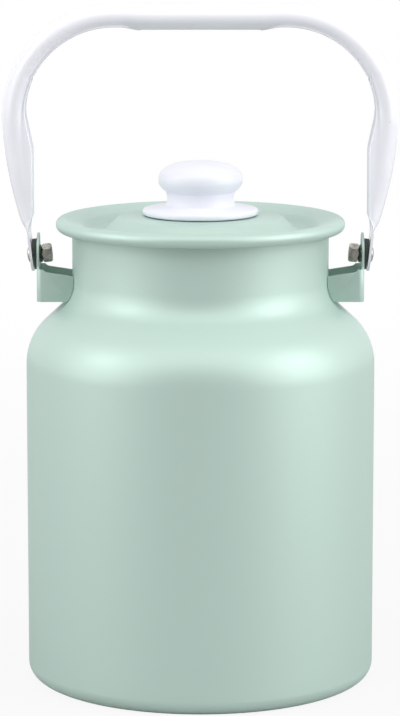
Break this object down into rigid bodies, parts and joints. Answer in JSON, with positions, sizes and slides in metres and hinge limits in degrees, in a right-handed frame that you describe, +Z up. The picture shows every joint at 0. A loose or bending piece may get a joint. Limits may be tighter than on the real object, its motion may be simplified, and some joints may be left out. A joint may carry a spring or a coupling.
{
  "type": "enamel milk can",
  "caption": "Enamelled sheet-steel milk can with a rounded shoulder, a loose lift-off lid with a mushroom knob, and a pressed white bail handle that swings on bolts in ear brackets",
  "frame": {"origin": "centre of the base, on the plane the can stands on", "axes": "+Z up along the can's axis, X through both handle pivots, the can seen from -Y"},
  "size_m": [0.1694, 0.15, 0.2922],
  "materials": {
    "mint_enamel": "glossy pale mint vitreous enamel on steel sheet",
    "white_enamel": "glossy white enamel on pressed steel sheet",
    "white_plastic": "smooth gloss white",
    "zinc_plated_steel": "dull zinc plate",
    "dark_rubber": "matte dark grey rubber",
    "brass": "turned"
  },
  "bodies": {
    "can": {"body_shell": "mint_enamel", "left_bracket": "mint_enamel", "right_bracket": "mint_enamel"},
    "bail": {"bail_handle": "white_enamel", "left_pivot_bolt": "zinc_plated_steel", "right_pivot_bolt": "zinc_plated_steel", "left_outer_washer": "dark_rubber", "right_outer_washer": "dark_rubber", "left_inner_washer": "dark_rubber", "right_inner_washer": "dark_rubber", "left_nut": "zinc_plated_steel", "right_nut": "zinc_plated_steel"},
    "lid": {"lid_shell": "mint_enamel", "knob": "white_plastic", "knob_insert": "brass", "knob_screw": "zinc_plated_steel", "knob_screw_washer": "zinc_plated_steel"}
  },
  "joints": [
    {"name": "bail_swing", "type": "hinge", "parent": "can", "child": "bail", "pos_m": [0, 0, 0.185], "axis": [1, 0, 0], "range_deg": [-120, 120]},
    {"name": "lid_lift", "type": "slide", "parent": "can", "child": "lid", "axis": [0, 0, 1], "range_m": [0, 0.05]}
  ]
}
